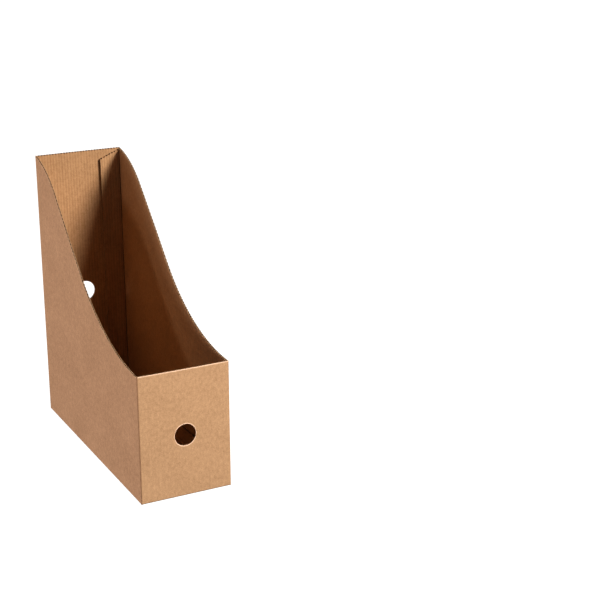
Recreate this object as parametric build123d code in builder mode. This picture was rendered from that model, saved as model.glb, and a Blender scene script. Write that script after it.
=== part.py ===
from build123d import *
import math
import os

# Magazine file holder folded from one die-cut blank of E-flute corrugated board.
# +Z is up, the low front faces -Y, the origin is the middle of the underside.
# Every panel of the blank is three sheets of paper: outer liner, fluting, inner liner.

# ---- driving dimensions, millimetres ----
WIDTH = 100.0             # outside, left to right
DEPTH = 290.0             # outside, front to back
BACK_HEIGHT = 304.0       # top of the back panel
FRONT_HEIGHT = 138.5      # top of the front panel

BOARD = 1.6               # whole thickness of the corrugated board
LINER = 0.25              # flat paper on each face
MEDIUM = 0.25             # fluted paper between the liners
FLUTE_PITCH = 3.3         # one full wave
FLUTE_FLAT = 0.6          # glued flat on each crest

CREASE_GAP = 0.15         # crushed paper left out on each side of a crease
STACK_GAP = 0.2           # air between panels that only lie on each other

FOOT_RADIUS = 223.0       # hollow curve that starts at the front panel
SLOPE = 44.5              # steepest part of the side edge, degrees
SHOULDER_END = 8.0        # slope where the side edge meets the back, degrees

HOLE_DIAMETER = 23.5      # finger holes
FRONT_HOLE_Z = 67.5       # a little below the middle of the front panel
BACK_HOLE_Z = 138.5

GLUE_FLAP_WIDTH = 25.0    # measured from the right outer face
GLUE_FLAP_DROP = 10.0     # how far its top edge slopes down
GLUE_FLAP_FOOT = 5.0      # clear height above the dust flap at its crease

DUST_FLAP_LENGTH = 48.0
DUST_FLAP_SIDE_CUT = 2.4  # how far the straight sides lean in
TUCK_HEIGHT = 22.0
TUCK_END = 5.0            # tuck flap starts this far from the front and back faces
TUCK_SLANT = 26.0         # how far its ends lean in by the top, to clear the front panel
TUCK_CORNER = 8.0
TUCK_CLEARANCE = 0.5      # between the tuck flap and the right side

# ---- levels that follow from them ----
LEFT_X = -WIDTH / 2
RIGHT_X = WIDTH / 2
FRONT_Y = -DEPTH / 2
BACK_Y = DEPTH / 2
CREASE_Z = BOARD + STACK_GAP          # bottom crease of the front and back panels
FLOOR_RIGHT = RIGHT_X - BOARD - TUCK_CLEARANCE
DUST_RIGHT = FLOOR_RIGHT - BOARD - 0.6

# planes on the outside face of each panel; local Y is always the flute direction
FRONT = Plane(origin=(0, FRONT_Y, 0), x_dir=(1, 0, 0), z_dir=(0, -1, 0))
BACK = Plane(origin=(0, BACK_Y, 0), x_dir=(1, 0, 0), z_dir=(0, -1, 0))
GLUE = Plane(origin=(0, BACK_Y - BOARD, 0), x_dir=(1, 0, 0), z_dir=(0, -1, 0))
LEFT = Plane(origin=(LEFT_X, 0, 0), x_dir=(0, 1, 0), z_dir=(1, 0, 0))
RIGHT = Plane(origin=(RIGHT_X, 0, 0), x_dir=(0, 1, 0), z_dir=(1, 0, 0))
TUCK = Plane(origin=(FLOOR_RIGHT, 0, 0), x_dir=(0, 1, 0), z_dir=(1, 0, 0))
FLOOR = Plane(origin=(0, 0, 0), x_dir=(0, 1, 0), z_dir=(0, 0, -1))
DUST = Plane(origin=(0, 0, CREASE_Z), x_dir=(1, 0, 0), z_dir=(0, 0, 1))


def save(part, name):
    part.label = name
    export_step(part, f"parts/{name}.step")


def keep_inside(left, right, bottom, top):
    """Trims the face being drawn to a box."""
    with Locations(((left + right) / 2, (bottom + top) / 2)):
        Rectangle(right - left, top - bottom, mode=Mode.INTERSECT)


# Each outline draws one panel at a depth below its outside face. A creased edge
# steps back by that depth, so two panels meet in a 45 degree mitre.

def front_outline(depth):
    setback = depth + CREASE_GAP
    with Locations((0, FRONT_HEIGHT / 2)):
        Rectangle(WIDTH, FRONT_HEIGHT)
    keep_inside(LEFT_X + setback, RIGHT_X - setback, CREASE_Z + setback, FRONT_HEIGHT)
    with Locations((0, FRONT_HOLE_Z)):
        Circle(HOLE_DIAMETER / 2, mode=Mode.SUBTRACT)


def back_outline(depth):
    setback = depth + CREASE_GAP
    with Locations((0, BACK_HEIGHT / 2)):
        Rectangle(WIDTH, BACK_HEIGHT)
    keep_inside(LEFT_X + setback, RIGHT_X, CREASE_Z + setback, BACK_HEIGHT)
    with Locations((0, BACK_HOLE_Z)):
        Circle(HOLE_DIAMETER / 2, mode=Mode.SUBTRACT)


def side_face():
    """Side panel with its flowing top edge: hollow foot, straight run, round shoulder."""
    slope = math.radians(SLOPE)
    turn = math.radians(SLOPE - SHOULDER_END)
    foot_y = FOOT_RADIUS * math.sin(slope)
    foot_z = FRONT_HEIGHT + FOOT_RADIUS * (1 - math.cos(slope))
    left_over = (DEPTH - foot_y) * math.sin(slope) - (BACK_HEIGHT - foot_z) * math.cos(slope)
    shoulder_radius = left_over / (1 - math.cos(turn))
    shoulder_y = shoulder_radius * (math.sin(slope) - math.sin(math.radians(SHOULDER_END)))
    run_length = (DEPTH - foot_y - shoulder_y) / math.cos(slope)
    with BuildLine() as edge:
        foot = JernArc((FRONT_Y, FRONT_HEIGHT), (1, 0), FOOT_RADIUS, SLOPE)
        run = PolarLine(foot @ 1, run_length, SLOPE)
        shoulder = JernArc(run @ 1, run % 1, shoulder_radius, SHOULDER_END - SLOPE)
        Polyline(shoulder @ 1, (BACK_Y, 0), (FRONT_Y, 0), (FRONT_Y, FRONT_HEIGHT))
    make_face(edge.edges())


def left_outline(depth):
    setback = depth + CREASE_GAP
    side_face()
    keep_inside(FRONT_Y + setback, BACK_Y - setback, setback, BACK_HEIGHT + 1)


def right_outline(depth):
    setback = depth + CREASE_GAP
    side_face()
    keep_inside(FRONT_Y + setback, BACK_Y - BOARD - setback, 0, BACK_HEIGHT + 1)


def glue_flap_outline(depth):
    crease_x = RIGHT_X - depth - CREASE_GAP
    free_x = RIGHT_X - GLUE_FLAP_WIDTH
    top_z = BACK_HEIGHT - 0.8
    foot_z = CREASE_Z + BOARD + GLUE_FLAP_FOOT
    with BuildLine() as edge:
        Polyline(
            (crease_x, top_z),
            (free_x, top_z - GLUE_FLAP_DROP),
            (free_x, foot_z + GLUE_FLAP_WIDTH),
            (crease_x, foot_z),
            close=True,
        )
    make_face(edge.edges())


def floor_outline(depth):
    setback = depth + CREASE_GAP
    with Locations((0, (LEFT_X + FLOOR_RIGHT) / 2)):
        Rectangle(DEPTH - 0.6, FLOOR_RIGHT - LEFT_X)
    keep_inside(FRONT_Y, BACK_Y, LEFT_X + setback, FLOOR_RIGHT - setback)


def tuck_flap_outline(depth):
    foot_y = DEPTH / 2 - TUCK_END
    top_y = foot_y - TUCK_SLANT
    with BuildLine() as edge:
        ends = Polyline((foot_y, 0), (top_y, TUCK_HEIGHT), (-top_y, TUCK_HEIGHT), (-foot_y, 0), close=True)
    face = make_face(edge.edges())
    top_corners = face.vertices().group_by(Axis.Y)[-1]
    fillet(top_corners, TUCK_CORNER)
    keep_inside(-foot_y, foot_y, depth + CREASE_GAP, TUCK_HEIGHT)


def front_dust_flap_outline(depth):
    crease_y = FRONT_Y + depth + CREASE_GAP
    end_y = FRONT_Y + BOARD + DUST_FLAP_LENGTH
    left_x = LEFT_X + BOARD + 0.6
    with BuildLine() as edge:
        Polyline(
            (left_x, FRONT_Y),
            (left_x, FRONT_Y + BOARD),
            (left_x + DUST_FLAP_LENGTH, end_y),
            (DUST_RIGHT - DUST_FLAP_SIDE_CUT, end_y),
            (DUST_RIGHT, FRONT_Y + BOARD),
            (DUST_RIGHT, FRONT_Y),
            close=True,
        )
    make_face(edge.edges())
    keep_inside(LEFT_X, RIGHT_X, crease_y, 0)


def back_dust_flap_outline(depth):
    crease_y = BACK_Y - depth - CREASE_GAP
    end_y = BACK_Y - BOARD - DUST_FLAP_LENGTH
    left_x = LEFT_X + BOARD + 0.6
    with BuildLine() as edge:
        Polyline(
            (left_x, BACK_Y),
            (left_x, BACK_Y - BOARD),
            (left_x + DUST_FLAP_SIDE_CUT, end_y),
            (DUST_RIGHT - DUST_FLAP_LENGTH, end_y),
            (DUST_RIGHT, BACK_Y - BOARD),
            (DUST_RIGHT, BACK_Y),
            close=True,
        )
    make_face(edge.edges())
    keep_inside(LEFT_X, RIGHT_X, 0, crease_y)


def liner(name, plane, inward, depth, outline):
    """Flat paper between depth and depth + LINER; inward is the sign of the plane normal."""
    with BuildPart() as sheet:
        with BuildSketch(plane.offset(inward * depth)):
            outline(depth + LINER)
        extrude(amount=inward * LINER)
    save(sheet.part, name)


def wave_points(start, count, depth):
    """Zigzag with flat crests: one full wave per pitch, rising from depth to the far side."""
    rise = BOARD - 2 * LINER - MEDIUM
    points = []
    for index in range(count):
        crest = start + index * FLUTE_PITCH
        trough = crest + FLUTE_PITCH / 2
        points.append((crest, depth + rise))
        points.append((crest + FLUTE_FLAT, depth + rise))
        points.append((trough, depth))
        points.append((trough + FLUTE_FLAT, depth))
    return points


def fluting(name, plane, inward, outline, span, reach):
    """Corrugated paper over span (local X) and reach (local Y), cut to the outline."""
    count = math.ceil((span[1] - span[0]) / FLUTE_PITCH) + 2
    start = (span[0] + span[1]) / 2 - count * FLUTE_PITCH / 2
    near = wave_points(start, count, LINER)
    far = wave_points(start, count, LINER + MEDIUM)
    loop = near + far[::-1]
    end_plane = Plane(
        origin=plane.from_local_coords((0, reach[0], 0)),
        x_dir=plane.x_dir,
        z_dir=plane.y_dir,
    )
    with BuildPart() as paper:
        with BuildSketch(end_plane):
            with BuildLine():
                Polyline(*[(x, -inward * depth) for x, depth in loop], close=True)
            make_face()
        extrude(amount=reach[1] - reach[0])
        with BuildSketch(plane.offset(inward * LINER)):
            outline(BOARD - LINER)
        extrude(amount=inward * (BOARD - 2 * LINER), mode=Mode.INTERSECT)
    save(paper.part, name)


PANELS = [
    # name, outside plane, inward sign, outline, span across flutes, reach along flutes
    ("front", FRONT, -1, front_outline, (LEFT_X, RIGHT_X), (0, FRONT_HEIGHT + 1)),
    ("back", BACK, 1, back_outline, (LEFT_X, RIGHT_X), (0, BACK_HEIGHT + 1)),
    ("left", LEFT, 1, left_outline, (FRONT_Y, BACK_Y), (0, BACK_HEIGHT + 2)),
    ("right", RIGHT, -1, right_outline, (FRONT_Y, BACK_Y), (-1, BACK_HEIGHT + 2)),
    ("glue_flap", GLUE, 1, glue_flap_outline, (RIGHT_X - GLUE_FLAP_WIDTH, RIGHT_X), (0, BACK_HEIGHT + 1)),
    ("floor", FLOOR, -1, floor_outline, (FRONT_Y, BACK_Y), (LEFT_X, RIGHT_X)),
    ("tuck_flap", TUCK, -1, tuck_flap_outline, (FRONT_Y, BACK_Y), (0, TUCK_HEIGHT + 1)),
    ("front_dust_flap", DUST, 1, front_dust_flap_outline, (LEFT_X, RIGHT_X), (FRONT_Y, 0)),
    ("back_dust_flap", DUST, 1, back_dust_flap_outline, (LEFT_X, RIGHT_X), (0, BACK_Y)),
]

os.makedirs("parts", exist_ok=True)

for name, plane, inward, outline, span, reach in PANELS:
    liner(f"{name}_outer_liner", plane, inward, 0, outline)
    fluting(f"{name}_fluting", plane, inward, outline, span, reach)
    liner(f"{name}_inner_liner", plane, inward, BOARD - LINER, outline)
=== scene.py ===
import bpy
import math
import numpy as np
from mathutils import Matrix, Vector


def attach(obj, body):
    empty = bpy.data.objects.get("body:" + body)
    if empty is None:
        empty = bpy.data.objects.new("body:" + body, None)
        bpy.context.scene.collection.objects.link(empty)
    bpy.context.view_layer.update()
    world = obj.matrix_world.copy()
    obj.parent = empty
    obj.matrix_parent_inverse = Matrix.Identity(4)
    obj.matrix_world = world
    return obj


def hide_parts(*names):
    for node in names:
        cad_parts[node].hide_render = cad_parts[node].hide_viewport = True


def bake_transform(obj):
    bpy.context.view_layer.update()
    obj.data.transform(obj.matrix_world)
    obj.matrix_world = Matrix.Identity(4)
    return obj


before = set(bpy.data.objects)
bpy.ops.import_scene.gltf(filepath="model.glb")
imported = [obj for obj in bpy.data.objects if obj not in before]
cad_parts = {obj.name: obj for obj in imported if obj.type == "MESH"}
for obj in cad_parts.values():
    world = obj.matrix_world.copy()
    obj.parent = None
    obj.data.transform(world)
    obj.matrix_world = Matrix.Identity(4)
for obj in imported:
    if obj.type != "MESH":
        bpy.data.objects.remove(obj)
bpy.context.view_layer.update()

MM = 0.001

# ------------------------------------------------------------------ sizes, millimetres
# the holder
WIDTH, DEPTH, BACK_H, FRONT_H = 100.0, 290.0, 304.0, 138.5
XL, XR, YF, YB = -WIDTH / 2, WIDTH / 2, -DEPTH / 2, DEPTH / 2
HOLE_R, FRONT_HOLE_Z, BACK_HOLE_Z = 23.5 / 2, 67.5, 138.5
X, Y, Z = (1, 0, 0), (0, 1, 0), (0, 0, 1)
NX, NY = (-1, 0, 0), (0, -1, 0)

# the board
BOARD, LINER, MEDIUM, PITCH = 1.6, 0.25, 0.22, 3.3
RISE = BOARD - 2 * LINER - MEDIUM   # how far the fluting travels between the liners
OUTER_RIPPLE, INNER_RIPPLE = 0.02, 0.07
EDGE_RECESS = 0.10              # how far the fluting is crushed back from a cut edge
SCALLOP = 1.30                  # how far a liner dips between flutes at a cut edge
EDGE_WANDER = 0.05              # how far a cut edge wanders

# creases
CREASE_R = 1.25                 # outside radius of a crease
BEAD_R = 0.9                    # radius of the crushed bead inside a crease
BEAD_SUNK = 0.2                 # how deep that bead runs into the board
FLUTING_BACK = 1.35             # left out of the fluting beside a crease
GROOVE = 0.5                    # left out of the inner liner beside a crease
CRUSH_START, CRUSH_WIDTH = 1.0, 3.0     # where flutes begin to stand up beside a crease
CORNER_Z = 0.3                  # the upright creases stop just above the table
TOP_GAP = 0.9                   # the back right crease stops short of the top
SILL_Z = 0.15                   # where the front and back panels roll under
SILL_IN = 1.2                   # the rolled sills stop short of the corners

# glue flap
GLUE_FLAP_W, GLUE_FLAP_DROP, GLUE_FLAP_LEAN = 25.0, 0.8, 0.4
GLUE_FLAP_FOOT = 5.0            # clear of the dust flap below it
GLUE_FREE_W, GLUE_SPRING = 12.0, 0.9    # its unglued strip, and how far that springs open

# bottom
CREASE_Z = BOARD + 0.2          # height of the creases of the dust flaps
FLOOR_END = BOARD + 0.25        # the floor ends this far inside the front and the back
FLOOR_XR = XR - BOARD - 0.5     # its tuck crease stands just inside the right side
TUCK_END, TUCK_HEIGHT, TUCK_SLANT, TUCK_CORNER = 5.0, 22.0, 26.0, 8.0
TUCK_IN = TUCK_END + 3.0        # where the tuck flap's slanted ends start
DUST_XL = XL + BOARD + 1.0      # the dust flaps clear the side and the tuck flap
DUST_XR = FLOOR_XR - BOARD - 0.6
DUST_LENGTH, DUST_LEAN = 48.0, 2.4
DUST_ROOT = BOARD + 0.12        # where a dust flap starts, behind its panel
MIN_SHEET = 1.2                 # the least a flap stands out at its slanted ends

# side edge: hollow foot, straight run, round shoulder
FOOT_R, SLOPE, END = 223.0, math.radians(44.5), math.radians(8.0)
FOOT_Y = FOOT_R * math.sin(SLOPE)
FOOT_Z = FRONT_H + FOOT_R * (1 - math.cos(SLOPE))
SHOULDER_R = ((DEPTH - FOOT_Y) * math.sin(SLOPE) - (BACK_H - FOOT_Z) * math.cos(SLOPE)) / (
    1 - math.cos(SLOPE - END))
SHOULDER_Y = DEPTH - SHOULDER_R * (math.sin(SLOPE) - math.sin(END))
SHOULDER_CY = DEPTH + SHOULDER_R * math.sin(END)
SHOULDER_CZ = BACK_H - SHOULDER_R * math.cos(END)

FAR = 1000.0                    # edge distance where there is no cut edge


def side_top(y):
    """Height of the side edge at y."""
    s = np.clip(np.asarray(y, float) - YF, 0, DEPTH)
    foot = FRONT_H + FOOT_R - np.sqrt(np.maximum(FOOT_R ** 2 - np.minimum(s, FOOT_Y) ** 2, 0))
    run = FOOT_Z + (s - FOOT_Y) * math.tan(SLOPE)
    shoulder = SHOULDER_CZ + np.sqrt(np.maximum(SHOULDER_R ** 2 - (s - SHOULDER_CY) ** 2, 0))
    return np.where(s < FOOT_Y, foot, np.where(s < SHOULDER_Y, run, shoulder))


def smooth(x):
    """A soft step from 0 to 1."""
    x = np.clip(x, 0, 1)
    return x * x * (3 - 2 * x)


def wobble(x, seed, size, scale):
    """Smooth random line: a few sines of random phase, about size high, scale long."""
    random = np.random.default_rng(seed)
    out = np.zeros_like(np.asarray(x, float))
    for _ in range(5):
        length = scale * random.uniform(0.45, 1.6)
        out = out + np.sin(2 * math.pi * x / length + random.uniform(0, 6.3))
    return out * size / 2.5


# ------------------------------------------------------------------ materials
def paper(name, pale, dark, ripple_shade_strength, blotch=1.0, rough=0.9, fringe=0.0):
    """Kraft paper: blotches, felted fibres, dark and pale flecks and faint lines of painted ripple
    shade over the flutes, with fibres raised along a cut. The board attribute holds (across
    flutes, along flutes, panel) in millimetres, and the edge attribute how far the cut edges are:
    top, bottom and hole."""
    material = bpy.data.materials.new(name)
    material.use_nodes = True
    nodes, link = material.node_tree.nodes, material.node_tree.links.new
    nodes.clear()
    output = nodes.new("ShaderNodeOutputMaterial")
    shader = nodes.new("ShaderNodeBsdfPrincipled")
    link(shader.outputs[0], output.inputs[0])
    shader.inputs["Specular IOR Level"].default_value = 0.18

    def attribute(attribute_name):
        node = nodes.new("ShaderNodeAttribute")
        node.attribute_name = attribute_name
        return node.outputs["Vector"]

    def split(vector):
        node = nodes.new("ShaderNodeSeparateXYZ")
        link(vector, node.inputs[0])
        return node.outputs

    def feed(socket, value):
        """Link a socket into another one, or set it to a number or a colour."""
        if isinstance(value, (int, float)):
            socket.default_value = value
        elif isinstance(value, tuple):
            socket.default_value = (*value, 1)
        else:
            link(value, socket)

    def maths(operation, a, b=0.0):
        node = nodes.new("ShaderNodeMath")
        node.operation = operation
        feed(node.inputs[0], a)
        feed(node.inputs[1], b)
        return node.outputs[0]

    def total(*parts):
        """The weighted sum of (value, weight) pairs."""
        terms = [maths("MULTIPLY", value, weight) for value, weight in parts]
        result = terms[0]
        for term in terms[1:]:
            result = maths("ADD", result, term)
        return result

    def mix(fac, a, b):
        node = nodes.new("ShaderNodeMix")
        node.data_type = "RGBA"
        feed(node.inputs[0], fac)
        feed(node.inputs[6], a)
        feed(node.inputs[7], b)
        return node.outputs[2]

    def ramp(fac, start, stop):
        """From value to value between two (place, value) stops."""
        node = nodes.new("ShaderNodeValToRGB")
        for element, (place, value) in zip(node.color_ramp.elements, (start, stop)):
            element.position = place
            element.color = (value, value, value, 1)
        link(fac, node.inputs[0])
        return node.outputs[0]

    board = attribute("board")

    def noise(across, along, scale=1.0, detail=3.0, roughness=0.6):
        """Noise with its own frequencies across and along the flutes, new on each panel."""
        mapping = nodes.new("ShaderNodeMapping")
        mapping.inputs["Scale"].default_value = (across, along, 31.7)
        link(board, mapping.inputs["Vector"])
        texture = nodes.new("ShaderNodeTexNoise")
        texture.inputs["Scale"].default_value = scale
        texture.inputs["Detail"].default_value = detail
        texture.inputs["Roughness"].default_value = roughness
        link(mapping.outputs[0], texture.inputs["Vector"])
        return texture.outputs["Fac"]

    def tint(colour, factor, lift=0.0):
        return tuple(min(1.0, factor * c + lift) for c in colour)

    # cloudy pulp and millimetre mottling, then fibres felted across the flutes
    cloud = noise(0.022, 0.03, 1.0, 4.0, 0.55)
    cloud = ramp(cloud, (0.3, 0.5 - 0.30 * blotch), (0.7, 0.5 + 0.30 * blotch))
    mottle = ramp(noise(0.30, 0.22, 1.0, 3.0, 0.62), (0.33, 0.0), (0.67, 1.0))
    felt = ramp(noise(0.75, 1.25, 1.0, 4.0, 0.72), (0.30, 0.05), (0.70, 0.95))
    fibre_across = noise(0.9, 5.5, 1.0, 2.0, 0.5)
    fibre_along = noise(4.2, 0.8, 1.3, 2.0, 0.5)
    fibres = ramp(total((fibre_across, 0.6), (fibre_along, 0.4)), (0.36, 0.0), (0.64, 1.0))
    tone = total((cloud, 0.18), (mottle, 0.20), (felt, 0.42), (fibres, 0.20))
    colour = mix(tone, dark, pale)

    # short dark shives and a few bleached fibres
    shive = ramp(noise(1.1, 3.4, 1.9, 1.0, 0.4), (0.69, 0.0), (0.77, 0.6))
    colour = mix(shive, colour, tint(dark, 0.5))
    bleached = ramp(noise(3.7, 0.75, 2.3, 1.0, 0.4), (0.70, 0.0), (0.78, 0.45))
    colour = mix(bleached, colour, tint(pale, 1.3))

    # painted shade: the liner is a little darker in lines over the flutes, standing in for the
    # shade of the washboard ripples
    wave = maths("COSINE", maths("MULTIPLY", split(board)["X"], 2 * math.pi / PITCH))
    wave = maths("MULTIPLY", maths("ADD", wave, 1.0), 0.5)
    uneven = noise(0.3, 0.05, 1.0, 2.0, 0.5)
    ripple_shade = maths("MULTIPLY", maths("MULTIPLY", wave, uneven), ripple_shade_strength)
    colour = mix(ripple_shade, colour, tint(dark, 0.62))

    # pale fibres stand up within a millimetre or so of a cut
    if fringe:
        top, bottom, hole = split(attribute("edge"))
        nearest = maths("MINIMUM", maths("MINIMUM", top, bottom), hole)
        frayed = maths("SUBTRACT", 1.0, maths("DIVIDE", nearest, 1.35))
        ragged = maths("MULTIPLY", maths("SUBTRACT", fibres, 0.5), 0.35)
        frayed = ramp(maths("ADD", frayed, ragged), (0.05, 0.0), (0.65, fringe))
        colour = mix(frayed, colour, tint(pale, 1.05, 0.20))
    link(colour, shader.inputs["Base Color"])
    roughness = ramp(felt, (0.0, rough - 0.05), (1.0, min(1.0, rough + 0.06)))
    link(roughness, shader.inputs["Roughness"])

    # fibre relief
    bump = nodes.new("ShaderNodeBump")
    bump.inputs["Strength"].default_value = 0.35
    bump.inputs["Distance"].default_value = 0.00006
    link(total((fibres, 0.5), (felt, 0.5)), bump.inputs["Height"])
    link(bump.outputs[0], shader.inputs["Normal"])
    return material


KRAFT = paper("kraft_liner_outside", (0.680, 0.423, 0.245), (0.245, 0.136, 0.067), 0.04,
              fringe=0.9)
KRAFT_IN = paper("kraft_liner_inside", (0.588, 0.351, 0.188), (0.244, 0.130, 0.060), 0.42,
                 fringe=0.5)
KRAFT_CUT = paper("kraft_cut_edge", (0.640, 0.430, 0.270), (0.420, 0.265, 0.155), 0.0, 1.3, 0.95)
# painted shade: the fluting and the hidden faces of the liners are near black, standing in for the
# shade deep inside the board
BOARD_INSIDE_PAINTED_SHADE = paper("fluting_paper", (0.110, 0.058, 0.028), (0.055, 0.028, 0.013), 0.0, 1.3, 0.94)
FLUTE_CUT = paper("fluting_cut_edge", (0.340, 0.205, 0.115), (0.210, 0.120, 0.064), 0.0, 1.3, 0.95)
# painted shade: the liner rolled round a crease is darker, standing in for the shade along the
# crease
CREASE_PAINTED_SHADE = paper("kraft_crease_painted_shade", (0.500, 0.300, 0.166), (0.290, 0.162, 0.084), 0.0, 1.2, 0.86)


# ------------------------------------------------------------------ board meshes
def make_object(name, verts, faces, board, edge, materials, kinds):
    """A mesh in millimetres with its board and edge attributes; kinds says which of the
    materials each face takes."""
    mesh = bpy.data.meshes.new(name)
    mesh.from_pydata((np.asarray(verts) * MM).tolist(), [], faces)
    for attribute, values in (("board", board), ("edge", edge)):
        data = mesh.attributes.new(attribute, "FLOAT_VECTOR", "POINT").data
        data.foreach_set("vector", np.asarray(values, np.float32).ravel())
    for material in materials:
        mesh.materials.append(material)
    mesh.polygons.foreach_set("material_index", kinds)
    mesh.polygons.foreach_set("use_smooth", [True] * len(mesh.polygons))
    mesh.set_sharp_from_angle(angle=math.radians(35))
    obj = bpy.data.objects.new(name, mesh)
    bpy.context.scene.collection.objects.link(obj)
    return obj


def sheet_grid(us, low, high, hole, rows):
    """Samples across, the grid of heights over them, and its quads. Around the hole the grid
    is split into a lower and an upper part, which share their points beside the hole."""
    if hole:
        hole_u, hole_v, hole_r = hole
        ring = hole_u + hole_r * np.cos(np.linspace(math.pi, 0, 37))
        keep = (us < hole_u - hole_r - 0.05) | (us > hole_u + hole_r + 0.05)
        us = np.unique(np.concatenate([us[keep], ring]))
    v_low, v_high = low(us), high(us)
    if hole:
        half = np.sqrt(np.maximum(hole_r ** 2 - (us - hole_u) ** 2, 0))
        half[half < 1e-3] = 0
        mid_low, mid_high = hole_v - half, hole_v + half
        split = max(2, round(rows * hole_v / float(np.mean(v_high))))
    else:
        half = np.zeros_like(us)
        mid_low = mid_high = v_low + (v_high - v_low) * 0.5
        split = rows // 2
    lower = np.linspace(0, 1, split + 1)[:, None]
    upper = np.linspace(0, 1, rows - split + 1)[:, None]
    grid = np.concatenate([v_low + (mid_low - v_low) * lower,
                           mid_high + (v_high - mid_high) * upper])
    index = np.arange(grid.size).reshape(grid.shape)
    closed = half == 0
    index[split + 1, closed] = index[split, closed]
    quads = []
    for row in range(len(grid) - 1):
        if row != split:
            quads.append(np.stack([index[row, :-1], index[row, 1:],
                                   index[row + 1, 1:], index[row + 1, :-1]], 1))
    return us, grid, np.concatenate(quads)


def rim_of(quads):
    """The edges that belong to one quad only, each in its quad's direction."""
    edges = {}
    for quad in quads:
        for k in range(4):
            edge = (int(quad[k]), int(quad[(k + 1) % 4]))
            key = (min(edge), max(edge))
            edges[key] = None if key in edges else edge
    return [edge for edge in edges.values() if edge is not None]


def sheet_mesh(name, place, us, low, high, near, thick, hole, rows, panel_id, materials, free_top):
    """A sheet standing over the samples us, from low to high along the flutes, near deep under
    the outside face and thick mm thick, with an optional round hole (u, v, radius).
    place(u, v, depth) gives points on the panel. materials are for the outer face, the inner
    face and the cut edges; free_top says whether fibres stand up along the top."""
    us, grid, quads = sheet_grid(us, low, high, hole, rows)
    uu = np.broadcast_to(us, grid.shape)
    count = grid.size
    outer = place(uu.ravel(), grid.ravel(), near(uu.ravel()))
    inner = place(uu.ravel(), grid.ravel(), near(uu.ravel()) + thick)
    rim = rim_of(quads)
    faces = [tuple(quad) for quad in quads[:, ::-1].tolist()]
    faces += [tuple(quad) for quad in (quads + count).tolist()]
    faces += [(a, b, b + count, a + count) for a, b in rim]

    # drop the unused duplicates along the closed seam
    used = np.unique(np.array([i for face in faces for i in face]))
    remap = -np.ones(2 * count, int)
    remap[used] = np.arange(len(used))
    faces = [tuple(int(remap[i]) for i in face) for face in faces]

    # outward normals: the grid runs u x v, so flip when the frame is left-handed
    start, step_u, step_v, step_in = (
        place(np.array([u]), np.array([v]), np.array([depth]))[0]
        for u, v, depth in ((0, 0, 0), (1, 0, 0), (0, 1, 0), (0, 0, 1)))
    if np.dot(np.cross(step_u - start, step_v - start), step_in - start) < 0:
        faces = [face[::-1] for face in faces]

    board = np.stack([np.tile(uu.ravel(), 2), np.tile(grid.ravel(), 2),
                      np.full(2 * count, float(panel_id))], 1)
    far = np.full(count, FAR)
    to_top = (grid[-1] - grid).ravel() if free_top else far
    to_hole = np.hypot(uu - hole[0], grid - hole[1]).ravel() - hole[2] if hole else far
    edge = np.tile(np.stack([to_top, far, to_hole], 1), (2, 1))
    kinds = [0] * len(quads) + [1] * len(quads) + [2] * len(rim)
    verts = np.concatenate([outer, inner])
    return make_object(name, verts[used], faces, board[used], edge[used], materials, kinds)


def flute_wave(u):
    """0 where the fluting touches the outer liner, 1 where it touches the inner one."""
    return 0.5 - 0.5 * np.cos(2 * math.pi * u / PITCH)


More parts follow.
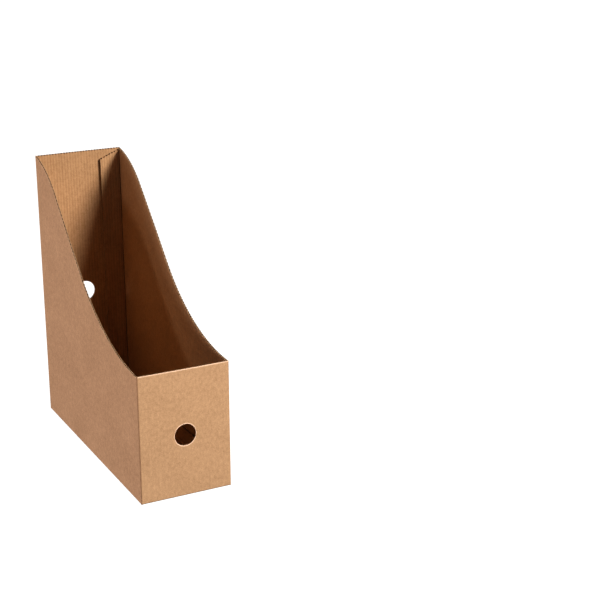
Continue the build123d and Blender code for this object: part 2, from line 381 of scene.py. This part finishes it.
class Panel:
    """One panel of the blank: its place, its samples and the three sheets it is made of.
    creases names the sides of the panel that are creased, not cut."""

    def __init__(self, name, body, origin, across, along, inward, span, low, high,
                 creases, rows, hole=None, bow=None, frayed=False):
        self.name, self.body, self.rows, self.hole, self.frayed = name, body, rows, hole, frayed
        self.origin, self.across, self.along, self.inward = (
            np.array(v, float) for v in (origin, across, along, inward))
        self.span, self.low, self.high, self.creases = span, low, high, creases
        self.bow = bow or (lambda u, v: 0 * u)
        self.number = len(PANELS)
        PANELS.append(self)

    def place(self, u, v, depth):
        depth = depth + self.bow(u, v)
        return (self.origin + np.outer(u, self.across) + np.outer(v, self.along)
                + np.outer(depth, self.inward))

    def samples(self, back):
        """Eight samples to a flute, with the ends back from a crease."""
        left = self.span[0] + (back if "left" in self.creases else 0)
        right = self.span[1] - (back if "right" in self.creases else 0)
        step = PITCH / 8
        inner = np.arange(math.ceil(left / step + 0.2), math.floor(right / step - 0.2) + 1) * step
        return np.concatenate([[left], inner, [right]])

    def calm(self, u):
        """Flutes are crushed flat beside a crease."""
        out = np.ones_like(u)
        if "left" in self.creases:
            out = out * smooth((u - self.span[0] - CRUSH_START) / CRUSH_WIDTH)
        if "right" in self.creases:
            out = out * smooth((self.span[1] - CRUSH_START - u) / CRUSH_WIDTH)
        return out

    def sheet(self, order, kind, thick, back, near, materials, recess=0.0, unsupported=None):
        """One sheet. order counts the sheets inwards, back is left out beside a crease, recess at
        a cut, and unsupported(u) is 1 where the die pressed the sheet down furthest."""
        seed = 100 + 10 * self.number + order

        def low(u):
            if "bottom" in self.creases:
                return self.low(u) + back
            return self.low(u) + recess + np.abs(wobble(u, seed, EDGE_WANDER, 9))

        def high(u):
            if "top" in self.creases:
                return self.high(u) - back
            dip = SCALLOP * unsupported(u) if unsupported and not self.frayed else 0
            return self.high(u) - recess - dip - np.abs(wobble(u, seed + 5, EDGE_WANDER, 7))

        node = f"{self.name}_{kind}"
        hole = self.hole and (*self.hole[:2], self.hole[2] + recess)
        rows = max(3, self.rows // 3) if kind == "fluting" else self.rows
        obj = sheet_mesh(f"{node}_paper", self.place, self.samples(back), low, high, near, thick,
                         hole, rows, 37.0 * self.number + 11.0 * order, materials, self.frayed)
        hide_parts(node)
        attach(obj, self.body)

    def build(self):
        # the faces inside the board take the near-black painted shade
        self.sheet(0, "outer_liner", LINER, CREASE_R,
                   lambda u: OUTER_RIPPLE * flute_wave(u) * self.calm(u),
                   (KRAFT, BOARD_INSIDE_PAINTED_SHADE, KRAFT_CUT), unsupported=flute_wave)
        self.sheet(1, "fluting", MEDIUM, FLUTING_BACK,
                   lambda u: LINER + RISE * flute_wave(u),
                   (BOARD_INSIDE_PAINTED_SHADE, BOARD_INSIDE_PAINTED_SHADE, FLUTE_CUT), recess=EDGE_RECESS)
        self.sheet(2, "inner_liner", LINER, BOARD + GROOVE,
                   lambda u: BOARD - LINER - INNER_RIPPLE * (1 - flute_wave(u)) * self.calm(u),
                   (BOARD_INSIDE_PAINTED_SHADE, KRAFT_IN, KRAFT_CUT), unsupported=lambda u: 1 - flute_wave(u))


PANELS = []


def flat(value):
    return lambda u: np.full_like(u, float(value))


# how far each panel bows inwards
def across_bow(u):
    """A half wave over the width of the front or the back."""
    return np.cos(np.clip(u / WIDTH, -0.5, 0.5) * math.pi)


def front_bow(u, v):
    return -0.55 * across_bow(u) * smooth(v / FRONT_H)


def back_bow(u, v):
    return -0.7 * across_bow(u) * smooth(v / BACK_H) * smooth((v - 5) / 60)


def flap_bow(u, v):
    """The glue flap is not glued right to its edge, which springs open a little."""
    glued_to = XR - GLUE_FLAP_W + GLUE_FREE_W
    return back_bow(u, v) + GLUE_SPRING * smooth((glued_to - u) / GLUE_FREE_W)


def side_bow(u, v):
    """The sides dish in, above the folded dust flaps, and spring out a little higher up."""
    s = np.clip((u - YF) / DEPTH, 0, 1)
    dish = 0.7 * np.sin(math.pi * np.clip(v / 230, 0, 1)) * smooth((v - 50) / 40)
    return np.sin(math.pi * s) * (dish - 0.35 * smooth((v - 90) / 120))


# outlines of the flaps
def tuck_top(u):
    """Top of the tuck flap: slanted ends, rounded into a straight edge."""
    s = DEPTH / 2 - TUCK_END - np.abs(u)
    lean = math.atan(TUCK_HEIGHT / TUCK_SLANT)
    tangent = TUCK_CORNER * math.tan(lean / 2)
    centre = TUCK_SLANT + tangent
    rounded = TUCK_HEIGHT - TUCK_CORNER + np.sqrt(
        np.maximum(TUCK_CORNER ** 2 - np.clip(centre - s, 0, TUCK_CORNER) ** 2, 0))
    slant = s * TUCK_HEIGHT / TUCK_SLANT
    height = np.where(s < TUCK_SLANT - tangent * math.cos(lean), slant, rounded)
    return np.maximum(height, BOARD + MIN_SHEET)


def dust_reach(from_mitre, from_lean):
    """How far a dust flap reaches in: 45 degrees on one end, a steep lean on the other."""
    return np.minimum(np.minimum(from_mitre, from_lean * DUST_LENGTH / DUST_LEAN), DUST_LENGTH)


def front_dust_end(u):
    end = YF + BOARD + dust_reach(u - DUST_XL, DUST_XR - u)
    return np.maximum(end, YF + DUST_ROOT + MIN_SHEET)


def back_dust_end(u):
    end = YB - BOARD - dust_reach(DUST_XR - u, u - DUST_XL)
    return np.minimum(end, YB - DUST_ROOT - MIN_SHEET)


def glue_flap_foot(u):
    return CREASE_Z + BOARD + GLUE_FLAP_FOOT + (XR - u)


def glue_flap_top(u):
    return BACK_H - GLUE_FLAP_DROP - (XR - u) * GLUE_FLAP_LEAN


Panel("front", "front_panel", (0, YF, 0), X, Z, Y, (XL, XR), flat(SILL_Z), flat(FRONT_H),
      ("left", "right", "bottom"), 12, (0, FRONT_HOLE_Z, HOLE_R), front_bow, frayed=True)
Panel("back", "back_panel", (0, YB, 0), X, Z, NY, (XL, XR), flat(SILL_Z), flat(BACK_H),
      ("left", "bottom"), 16, (0, BACK_HOLE_Z, HOLE_R), back_bow)
Panel("left", "left_side", (XL, 0, 0), Y, Z, X, (YF, YB), flat(0), side_top,
      ("left", "right", "bottom"), 14, bow=side_bow)
Panel("right", "right_side", (XR, 0, 0), Y, Z, NX, (YF, YB - BOARD), flat(0), side_top,
      ("left", "right"), 14, bow=side_bow)
Panel("glue_flap", "back_panel", (0, YB - BOARD, 0), X, Z, NY, (XR - GLUE_FLAP_W, XR),
      glue_flap_foot, glue_flap_top, ("right",), 10, bow=flap_bow)
Panel("floor", "floor_panel", (0, 0, 0), Y, X, Z, (YF + FLOOR_END, YB - FLOOR_END),
      flat(XL), flat(FLOOR_XR), ("bottom", "top"), 6)
Panel("tuck_flap", "tuck_flap", (FLOOR_XR, 0, 0), Y, Z, NX, (YF + TUCK_IN, YB - TUCK_IN),
      flat(0), tuck_top, ("bottom",), 4)
Panel("front_dust_flap", "front_dust_flap", (0, 0, CREASE_Z), X, Y, Z, (DUST_XL, DUST_XR),
      flat(YF + DUST_ROOT), front_dust_end, (), 6)
Panel("back_dust_flap", "back_dust_flap", (0, 0, CREASE_Z), X, Y, Z, (DUST_XL, DUST_XR),
      back_dust_end, flat(YB - DUST_ROOT), (), 6)

for panel in PANELS:
    panel.build()


# ------------------------------------------------------------------ creases
def strip(name, ring, along, stations, number, material, dented):
    """A closed ring of points drawn out along a crease. dented says how far and which way each
    point of the ring moves with the uneven score."""
    ring = np.array(ring)
    count = len(ring)
    length = np.concatenate([[0], np.cumsum(np.linalg.norm(np.diff(ring, axis=0), axis=1))])
    verts, board, faces = [], [], []
    for s in stations:
        dent = 0.04 * math.sin(s * 1.9 + number) + 0.03 * math.sin(s * 0.7 + 2 * number)
        verts.append(ring + along * s + dent * dented)
        board.append(np.stack([length + 7, np.full(count, s), np.full(count, 400.0 + number)], 1))
    for i in range(len(stations) - 1):
        for j in range(count):
            k = (j + 1) % count
            faces.append((i * count + j, i * count + k, (i + 1) * count + k, (i + 1) * count + j))
    faces.append(tuple(range(count))[::-1])
    faces.append(tuple((len(stations) - 1) * count + j for j in range(count)))

    # outward normals: the ring's signed area about the crease line settles the order
    turn = np.cross(ring, np.roll(ring, -1, axis=0)).sum(axis=0)
    if np.dot(turn, along * (stations[-1] - stations[0])) < 0:
        faces = [face[::-1] for face in faces]
    board = np.concatenate(board)
    obj = make_object(name, np.concatenate(verts), faces, board, np.full_like(board, FAR),
                      [material], [0] * len(faces))
    return obj


def crease(name, bodies, corner, a, b, along, start, stop, number,
           inside=True, wrap=(0, 1), tail=0):
    """The outer liner rolled round a crease, and the crushed bead inside it. a and b point from
    the corner along the two panels, along runs down the crease from start to stop. wrap is the
    share of the quarter turn that is drawn, from the b side, and tail a flat run on along b."""
    corner, a, b, along = (np.array(v, float) for v in (corner, a, b, along))
    stations = np.linspace(start, stop, max(2, int(abs(stop - start) / 2.5)))

    def quarter(centre, radius, low, high):
        turns = np.linspace(math.pi / 2 * (1 - low), math.pi / 2 * (1 - high), 9)
        return [centre - radius * (math.sin(t) * a + math.cos(t) * b) for t in turns]

    def seat_on(obj):
        if len(bodies) == 1:
            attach(obj, bodies[0])
        else:
            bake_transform(obj)

    if wrap:
        centre = corner + CREASE_R * (a + b)
        outer = quarter(centre, CREASE_R, *wrap)
        inner = quarter(centre, CREASE_R - LINER, *wrap)[::-1]
        if tail:
            outer = [outer[0] + tail * b] + outer
            inner = inner + [inner[-1] + tail * b]
        fade = np.zeros(len(outer) + len(inner))
        fade[len(outer) // 2 - 1:len(outer) // 2 + 2] = 0.6, 1.0, 0.6
        # the rolled liner takes the darker crease colour, painted shade along the crease
        obj = strip(f"{name}_wrap", outer + inner, along, stations, number, CREASE_PAINTED_SHADE,
                    np.outer(fade, a + b))
        seat_on(obj)
    if inside:
        seat = corner + BOARD * (a + b)
        bead = quarter(seat + BEAD_R * (a + b), BEAD_R, 0, 1)
        hidden = [seat + BEAD_R * a - BEAD_SUNK * b, seat - BEAD_SUNK * (a + b),
                  seat + BEAD_R * b - BEAD_SUNK * a]
        obj = strip(f"{name}_bead", bead + hidden, along, stations, number, KRAFT_IN,
                    0 * (a + b))
        seat_on(obj)


crease("front_left_crease", ("front_panel", "left_side"), (XL, YF, 0), X, Y, Z,
       CORNER_Z, FRONT_H, 1)
crease("front_right_crease", ("front_panel", "right_side"), (XR, YF, 0), NX, Y, Z,
       CORNER_Z, FRONT_H, 2)
crease("back_left_crease", ("back_panel", "left_side"), (XL, YB, 0), X, NY, Z,
       CORNER_Z, BACK_H, 3)
crease("floor_left_crease", ("left_side", "floor_panel"), (XL, 0, 0), Z, X, Y,
       YF + 1.4, YB - 1.4, 4)
crease("tuck_crease", ("floor_panel", "tuck_flap"), (FLOOR_XR, 0, 0), NX, Z, Y,
       YF + TUCK_END + 0.2, YB - TUCK_END - 0.2, 5)
crease("front_dust_crease", ("front_panel", "front_dust_flap"), (0, YF, CREASE_Z), Z, Y, X,
       DUST_XL, DUST_XR, 6, wrap=None)
crease("back_dust_crease", ("back_panel", "back_dust_flap"), (0, YB, CREASE_Z), Z, NY, X,
       DUST_XL, DUST_XR, 7, wrap=None)
crease("front_sill", ("front_panel",), (0, YF, SILL_Z), Z, Y, X,
       XL + SILL_IN, XR - SILL_IN, 8, inside=False, tail=BOARD - CREASE_R)
crease("back_sill", ("back_panel",), (0, YB, SILL_Z), Z, NY, X,
       XL + SILL_IN, XR - 0.1, 9, inside=False, tail=BOARD - CREASE_R)
crease("back_right_crease_side", ("right_side",), (XR, YB - BOARD, 0), NX, NY, Z,
       CORNER_Z, BACK_H - TOP_GAP, 10, inside=False, wrap=(0, 0.5))
crease("back_right_crease_flap", ("back_panel",), (XR, YB - BOARD, 0), NX, NY, Z,
       CREASE_Z + BOARD + 6, BACK_H - TOP_GAP, 11, inside=False, wrap=(0.5, 1))


# ------------------------------------------------------------------ stage, lights, camera
def shine(nodes, kind, colour, strength):
    """An emission or background node; returns its output."""
    node = nodes.new(kind)
    node.inputs[0].default_value = (*colour, 1)
    node.inputs[1].default_value = strength
    return node.outputs[0]


def blend_shaders(tree, fac, a, b):
    node = tree.nodes.new("ShaderNodeMixShader")
    tree.links.new(fac, node.inputs[0])
    tree.links.new(a, node.inputs[1])
    tree.links.new(b, node.inputs[2])
    return node.outputs[0]


def studio_floor():
    """A pale sweep that glows white to the camera and lights the holder softly from below.
    Seen from underneath it is clear, so that the underside can be looked at."""
    mesh = bpy.data.meshes.new("studio_floor")
    mesh.from_pydata([(-14, -6, 0), (14, -6, 0), (14, 22, 0), (-14, 22, 0)], [], [(0, 1, 2, 3)])
    obj = bpy.data.objects.new("studio_floor", mesh)
    bpy.context.scene.collection.objects.link(obj)
    material = bpy.data.materials.new("studio_floor")
    material.use_nodes = True
    tree = material.node_tree
    nodes, link = tree.nodes, tree.links.new
    nodes.clear()
    pale = nodes.new("ShaderNodeBsdfDiffuse")
    pale.inputs[0].default_value = (0.08, 0.08, 0.08, 1)
    seen = nodes.new("ShaderNodeAddShader")
    link(pale.outputs[0], seen.inputs[0])
    link(shine(nodes, "ShaderNodeEmission", (1, 1, 1), 0.91), seen.inputs[1])
    dim = shine(nodes, "ShaderNodeEmission", (1, 0.97, 0.97), 0.40)
    path = nodes.new("ShaderNodeLightPath")
    above = blend_shaders(tree, path.outputs["Is Camera Ray"], dim, seen.outputs[0])
    side = nodes.new("ShaderNodeNewGeometry")
    clear = nodes.new("ShaderNodeBsdfTransparent")
    both = blend_shaders(tree, side.outputs["Backfacing"], above, clear.outputs[0])
    link(both, nodes.new("ShaderNodeOutputMaterial").inputs[0])
    mesh.materials.append(material)


def studio_world():
    """White to the camera, and only a faint fill for everything else."""
    world = bpy.data.worlds.new("studio")
    bpy.context.scene.world = world
    world.use_nodes = True
    tree = world.node_tree
    tree.nodes.clear()
    fill = shine(tree.nodes, "ShaderNodeBackground", (1.0, 0.985, 0.965), 0.012)
    seen = shine(tree.nodes, "ShaderNodeBackground", (1, 1, 1), 1.0)
    path = tree.nodes.new("ShaderNodeLightPath")
    both = blend_shaders(tree, path.outputs["Is Camera Ray"], fill, seen)
    tree.links.new(both, tree.nodes.new("ShaderNodeOutputWorld").inputs[0])


def lamp(name, target, direction, distance, size, power, colour):
    """A soft lamp that looks at target from distance metres away in the given direction."""
    data = bpy.data.lights.new(name, "AREA")
    data.shape = "ELLIPSE"
    data.size, data.size_y = size
    data.energy = power
    data.color = colour
    obj = bpy.data.objects.new(name, data)
    obj.location = Vector(target) + Vector(direction).normalized() * distance
    obj.rotation_euler = (Vector(target) - obj.location).to_track_quat("-Z", "Y").to_euler()
    bpy.context.scene.collection.objects.link(obj)


def studio_camera():
    data = bpy.data.cameras.new("camera")
    data.sensor_width = 36.0
    data.lens = 85.254
    data.clip_end = 60
    obj = bpy.data.objects.new("camera", data)
    bpy.context.scene.collection.objects.link(obj)
    right = Vector((0.8852, -0.4652, -0.0024))
    upward = Vector((0.1472, 0.2752, 0.9501))
    forward = Vector((0.4413, 0.8413, -0.3121))
    rotation = Matrix((right, upward, -forward)).transposed()
    obj.matrix_world = Matrix.Translation((-0.5115, -1.3705, 0.6450)) @ rotation.to_4x4()
    bpy.context.scene.camera = obj


studio_floor()
studio_world()
MIDDLE, LOW_MIDDLE = (0, 0.02, 0.17), (0, 0, 0.16)
lamp("key_light", MIDDLE, (0.90, -1.0, 0.99), 2.6, (1.05, 1.05), 114, (1.0, 0.975, 0.94))
lamp("side_fill", LOW_MIDDLE, (-2.2, 0.1, 0.0), 2.4, (2.0, 0.28), 31, (1.0, 0.92, 0.98))
lamp("high_fill", MIDDLE, (-1.0, 0.10, 0.68), 2.4, (0.30, 0.30), 7, (1.0, 0.86, 0.82))
lamp("back_fill", LOW_MIDDLE, (0.4, 2.2, 0.0), 2.4, (2.0, 0.28), 22, (1.0, 0.95, 0.95))
studio_camera()
bpy.context.scene.view_settings.view_transform = "Standard"
bpy.context.scene.view_settings.look = "Medium High Contrast"
